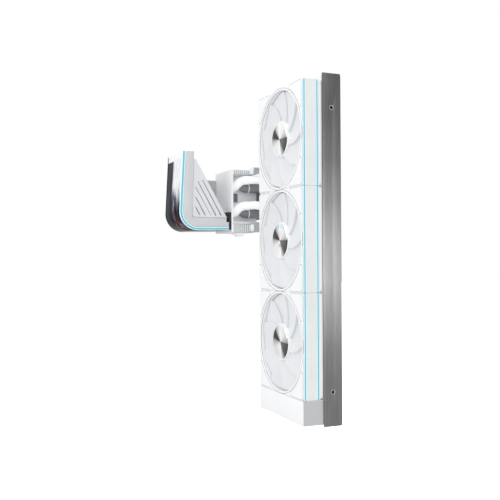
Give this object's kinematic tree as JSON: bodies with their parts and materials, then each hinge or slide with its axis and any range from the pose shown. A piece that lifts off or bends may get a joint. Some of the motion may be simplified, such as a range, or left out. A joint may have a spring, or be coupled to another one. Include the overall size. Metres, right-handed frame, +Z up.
{
  "type": "liquid cooling radiator",
  "caption": "Closed-loop liquid cooler: fans on a long radiator with a brushed side plate, hoses and a pump head under a bent display.",
  "frame": {"origin": "centre of the radiator's rear bolting plane", "axes": "+Z up along the radiator's length, +Y out of its rear, so the fans face -Y; +X towards the brushed side plate, with the pump head on -X"},
  "size_m": [0.2428, 0.1461, 0.398],
  "materials": {
    "core_metal": "satin",
    "white_metal": "satin white paint",
    "brushed_plate": "brushed along its length",
    "dark_metal": "satin black",
    "white_gloss": "gloss",
    "hose_white": "satin white sleeve",
    "white_plastic": "fine satin",
    "frosted": "frosted translucent",
    "mirror_cap": "mirror",
    "motor_copper": "varnished windings",
    "light_bar": "translucent diffuser",
    "board_green": "solder mask",
    "cold_copper": "machined",
    "grey_plastic": "fine satin",
    "dark_plastic": "satin",
    "bracket_grey": "satin",
    "screw_steel": "white head",
    "swivel_grey": "satin",
    "tray_grey": "fine satin",
    "arm_grey": "satin",
    "cyan_light": "lit diffuser",
    "black_glass": "polished cover glass"
  },
  "bodies": {
    "cooler": {"radiator_core": "core_metal", "top_tank": "white_metal", "bottom_tank": "white_metal", "near_rail": "white_metal", "far_rail": "white_metal", "near_side_plate": "brushed_plate", "plate_screw_upper": "dark_metal", "plate_screw_lower": "dark_metal", "tank_fitting_a": "white_gloss", "tank_fitting_b": "white_gloss", "hose_a": "hose_white", "hose_b": "hose_white", "elbow_a": "hose_white", "elbow_b": "hose_white", "fan_frame_upper": "white_plastic", "fan_motor_upper": "motor_copper", "light_bar_near_upper": "light_bar", "light_bar_far_upper": "light_bar", "fan_frame_middle": "white_plastic", "fan_motor_middle": "motor_copper", "light_bar_near_middle": "light_bar", "light_bar_far_middle": "light_bar", "fan_frame_lower": "white_plastic", "fan_motor_lower": "motor_copper", "light_bar_near_lower": "light_bar", "light_bar_far_lower": "light_bar", "end_cover": "white_plastic", "display_bezel": "white_plastic", "controller_board": "board_green", "display_board": "board_green", "cold_plate": "cold_copper", "pump_stator": "motor_copper", "pump_body": "grey_plastic", "pump_cover": "grey_plastic", "rib_strip_upper": "grey_plastic", "rib_strip_lower": "grey_plastic", "cable_socket": "grey_plastic", "display_panel": "dark_plastic", "display_connector": "dark_plastic", "mounting_bracket": "bracket_grey", "mount_screw_near_upper": "screw_steel", "mount_screw_near_lower": "screw_steel", "mount_screw_far_upper": "screw_steel", "mount_screw_far_lower": "screw_steel", "swivel_a": "swivel_grey", "swivel_b": "swivel_grey", "display_tray": "tray_grey", "gusset_near": "tray_grey", "gusset_far": "tray_grey", "display_arm": "arm_grey", "display_strip_near": "cyan_light", "display_strip_far": "cyan_light", "display_glass": "black_glass"},
    "rotor_upper": {"fan_rotor_upper": "frosted", "fan_cap_upper": "mirror_cap"},
    "rotor_middle": {"fan_rotor_middle": "frosted", "fan_cap_middle": "mirror_cap"},
    "rotor_lower": {"fan_rotor_lower": "frosted", "fan_cap_lower": "mirror_cap"},
    "rotor_pump": {"pump_impeller": "dark_plastic"}
  },
  "joints": [
    {"name": "fan_spin_upper", "type": "hinge", "parent": "cooler", "child": "rotor_upper", "pos_m": [0, -0.04, 0.1312], "axis": [0, 1, 0], "continuous": true},
    {"name": "fan_spin_middle", "type": "hinge", "parent": "cooler", "child": "rotor_middle", "pos_m": [0, -0.04, 0.0112], "axis": [0, 1, 0], "continuous": true},
    {"name": "fan_spin_lower", "type": "hinge", "parent": "cooler", "child": "rotor_lower", "pos_m": [0, -0.04, -0.1088], "axis": [0, 1, 0], "continuous": true},
    {"name": "pump_spin", "type": "hinge", "parent": "cooler", "child": "rotor_pump", "pos_m": [-0.1468, -0.05, 0.0684], "axis": [0, 1, 0], "continuous": true}
  ]
}
